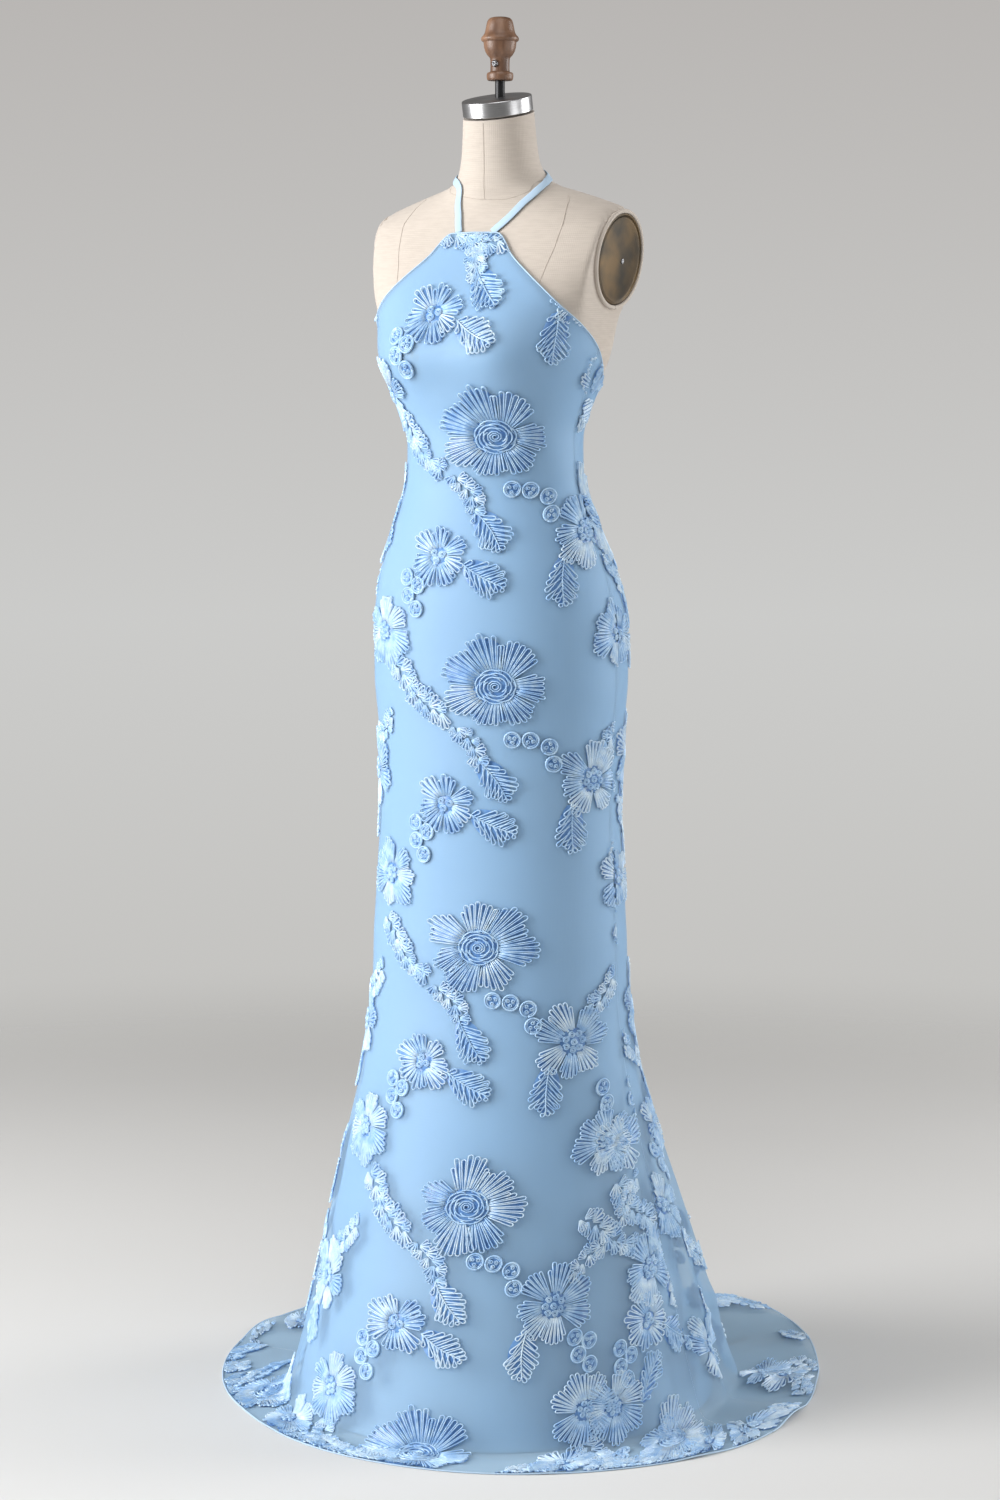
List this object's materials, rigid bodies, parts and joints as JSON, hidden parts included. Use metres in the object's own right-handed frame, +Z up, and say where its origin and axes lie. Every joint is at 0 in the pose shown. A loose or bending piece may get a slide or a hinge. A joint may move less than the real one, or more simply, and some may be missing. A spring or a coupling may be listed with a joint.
{
  "type": "mermaid prom dress on a limbless dress form",
  "caption": "Floor-length mermaid dress with a high halter neck, ribbon-embroidered sheer overlay, shorter lining and small train, on a limbless dress form with pole and round base.",
  "frame": {"origin": "on the floor under the form's pole, in the underside of the round base plate", "axes": "+Z up along the pole, the dress faces -Y, the wearer's left is +X, the train spreads to +Y"},
  "size_m": [0.7643, 0.825, 1.642],
  "materials": {
    "sheer_overlay": "sheer net with satin ribbon embroidery",
    "satin_lining": "soft satin",
    "linen": "plain woven linen",
    "brushed_metal": "brushed",
    "black_metal": "satin black",
    "turned_wood": "varnished",
    "bronze": "dark burnished"
  },
  "bodies": {
    "root": {"overlay_front": "sheer_overlay", "overlay_back_left": "sheer_overlay", "overlay_back_right": "sheer_overlay", "lining_front": "satin_lining", "lining_back_left": "satin_lining", "lining_back_right": "satin_lining", "halter_strap": "satin_lining", "form_torso": "linen", "neck_cap": "brushed_metal", "cap_rod": "black_metal", "finial": "turned_wood", "finial_screw": "black_metal", "arm_plate_left": "bronze", "arm_plate_right": "bronze", "stand_pole": "brushed_metal", "stand_base": "black_metal"}
  },
  "joints": []
}
